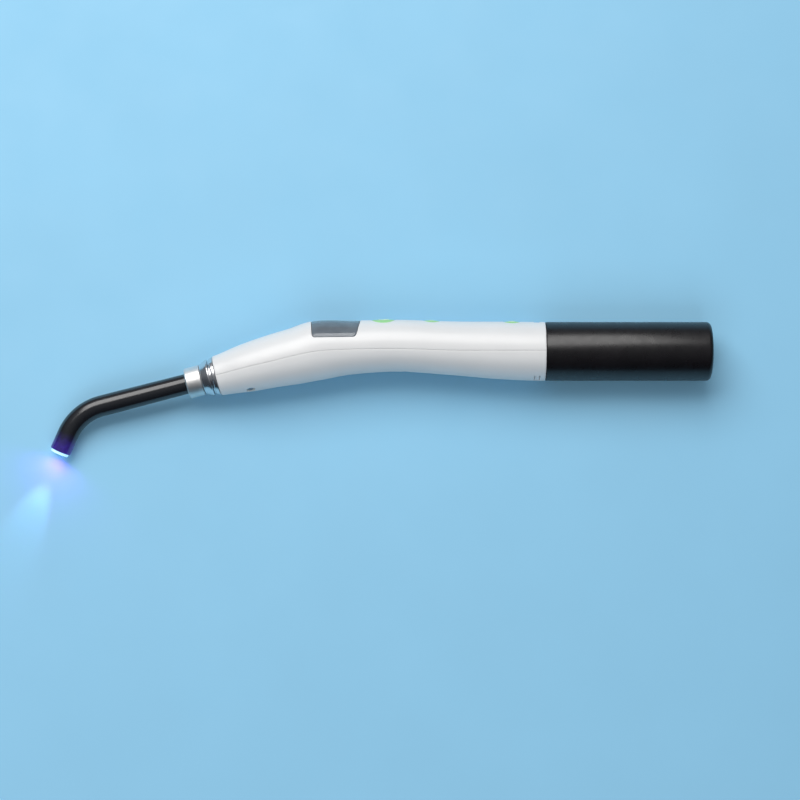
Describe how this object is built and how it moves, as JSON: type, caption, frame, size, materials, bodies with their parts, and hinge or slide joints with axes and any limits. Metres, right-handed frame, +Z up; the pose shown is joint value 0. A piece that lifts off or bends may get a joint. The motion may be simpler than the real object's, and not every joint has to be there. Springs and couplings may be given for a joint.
{
  "type": "dental curing light",
  "caption": "Cordless wand curing light: bent black light guide, curved white two-part handle with display and keys, and a round black battery.",
  "frame": {"origin": "centre of the bounding box, on the surface that the light lies on", "axes": "+X towards the battery's end cap, +Y towards the side that the keypad faces as the light lies on its side, +Z up"},
  "size_m": [0.2872, 0.0594, 0.0256],
  "materials": {
    "white_housing": "glossy white moulded plastic",
    "black_housing": "semi-gloss black moulded plastic",
    "guide_black": "gloss black coated glass guide",
    "satin_aluminium": "satin turned",
    "polished_steel": "polished turned",
    "fibre_glass": "polished fibre face, glowing blue when lit",
    "smoked_window": "smoked clear plastic",
    "lcd_glass": "grey-green display",
    "keypad_green": "soft-touch green",
    "circuit_board": "solder mask",
    "chip_plastic": "moulded",
    "seal_rubber": "matt",
    "contact_gold": "gold plated",
    "led_ceramic": "ceramic and phosphor",
    "cell_wrap": "shrink wrap over a lithium cell, density as a real cell",
    "wire_red": "insulated wire",
    "foam": "foam"
  },
  "bodies": {
    "handpiece": {"upper_shell": "white_housing", "lower_shell": "white_housing", "middle_screw": "polished_steel", "display_window": "smoked_window", "display_frame": "chip_plastic", "display_panel": "lcd_glass", "nose_ring": "polished_steel", "nose_screw_near": "polished_steel", "nose_screw_far": "polished_steel", "entry_window": "fibre_glass", "led_reflector": "polished_steel", "led_dome": "fibre_glass", "led_emitter": "led_ceramic", "led_board": "satin_aluminium", "heat_sink": "satin_aluminium", "led_screw_near": "polished_steel", "led_screw_far": "polished_steel", "led_wire_near": "wire_red", "led_wire_far": "chip_plastic", "main_board": "circuit_board", "board_screw_1": "polished_steel", "board_screw_2": "polished_steel", "controller_chip": "chip_plastic", "driver_coil": "chip_plastic", "buzzer": "chip_plastic", "power_switch": "chip_plastic", "mode_switch": "chip_plastic", "timer_switch": "chip_plastic", "rear_collar": "white_housing", "contact_block": "chip_plastic"},
    "guide_retainer": {"retaining_ring": "polished_steel"},
    "light_guide": {"guide_jacket": "guide_black", "fibre_rod": "fibre_glass", "guide_ferrule": "satin_aluminium", "guide_collar": "polished_steel", "guide_stem": "polished_steel", "stem_o_ring": "seal_rubber"},
    "power_key": {"power_button": "keypad_green", "power_plunger": "white_housing"},
    "mode_key": {"mode_button": "keypad_green", "mode_plunger": "white_housing"},
    "timer_key": {"timer_button": "keypad_green", "timer_plunger": "white_housing"},
    "pin_plus": {"contact_pin_plus": "contact_gold"},
    "pin_minus": {"contact_pin_minus": "contact_gold"},
    "battery_pack": {"battery_sleeve": "black_housing", "battery_neck": "black_housing", "battery_pad_plus": "contact_gold", "battery_pad_minus": "contact_gold", "protection_board": "circuit_board", "battery_cell": "cell_wrap", "cell_holder": "chip_plastic", "foam_pad": "foam", "charge_contact_plus": "contact_gold", "charge_contact_minus": "contact_gold"}
  },
  "joints": [
    {"name": "guide_pull", "type": "slide", "parent": "handpiece", "child": "guide_retainer", "axis": [-0.9681, -0.2458, -0.0478], "range_m": [0, 0.02]},
    {"name": "guide_turn", "type": "hinge", "parent": "guide_retainer", "child": "light_guide", "pos_m": [-0.071, 0.00517, 0.01076], "axis": [-0.9681, -0.2458, -0.0478], "continuous": true},
    {"name": "power_press", "type": "slide", "parent": "handpiece", "child": "power_key", "axis": [0, -0.9816, -0.1908], "range_m": [0, 0.0005], "stiffness_N_per_m": 2500, "springref_m": -0.0003},
    {"name": "mode_press", "type": "slide", "parent": "handpiece", "child": "mode_key", "axis": [0, -0.9816, -0.1908], "range_m": [0, 0.0005], "stiffness_N_per_m": 2500, "springref_m": -0.0003},
    {"name": "timer_press", "type": "slide", "parent": "handpiece", "child": "timer_key", "axis": [0, -0.9816, -0.1908], "range_m": [0, 0.0005], "stiffness_N_per_m": 2500, "springref_m": -0.0003},
    {"name": "pin_plus_press", "type": "slide", "parent": "handpiece", "child": "pin_plus", "axis": [-1, 0, 0], "range_m": [0, 0.0008], "stiffness_N_per_m": 500, "springref_m": -0.0008},
    {"name": "pin_minus_press", "type": "slide", "parent": "handpiece", "child": "pin_minus", "axis": [-1, 0, 0], "range_m": [0, 0.0008], "stiffness_N_per_m": 500, "springref_m": -0.0008},
    {"name": "battery_pull", "type": "slide", "parent": "handpiece", "child": "battery_pack", "axis": [1, 0, 0], "range_m": [0, 0.02]}
  ]
}
